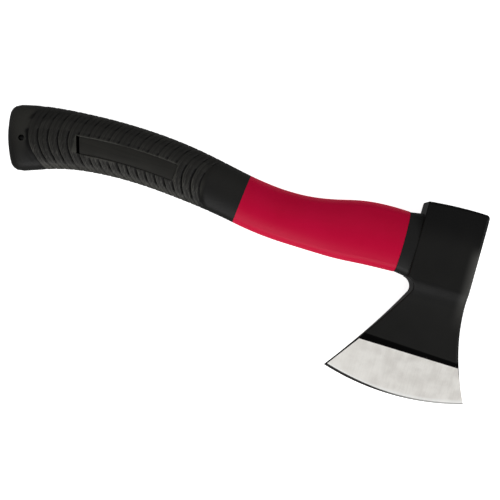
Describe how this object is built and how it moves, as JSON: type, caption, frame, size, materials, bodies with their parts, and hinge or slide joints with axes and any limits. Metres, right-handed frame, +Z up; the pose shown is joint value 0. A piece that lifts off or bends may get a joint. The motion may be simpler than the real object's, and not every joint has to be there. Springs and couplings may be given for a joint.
{
  "type": "hand axe",
  "caption": "Small one-hand axe with a black forged head, ground bearded blade, red fibre-cored handle, black ribbed rubber grip and a lanyard hole.",
  "frame": {"origin": "on the lower cheek's flat face, under the centre of the eye; the axe lies on its side on z = 0", "axes": "+X along the eye, away from the handle; +Y towards the poll, so the cutting edge faces -Y; +Z up, across the blade"},
  "size_m": [0.384, 0.1478, 0.025],
  "materials": {
    "lacquered_steel": "black lacquer on forged steel, the bevels ground bright",
    "glass_fibre": "pultruded glass fibre, satin",
    "red_plastic": "moulded, satin gloss",
    "grip_rubber": "soft ribbed rubber, satin",
    "collar_rubber": "smooth rubber, matte",
    "epoxy": "cast epoxy, dull",
    "plate_plastic": "blank moulded plate, matte"
  },
  "bodies": {
    "root": {"axe_head": "lacquered_steel", "glass_fibre_core": "glass_fibre", "handle_jacket": "red_plastic", "rubber_grip": "grip_rubber", "eye_collar": "collar_rubber", "eye_resin": "epoxy", "name_plate_upper": "plate_plastic", "name_plate_lower": "plate_plastic"}
  },
  "joints": []
}
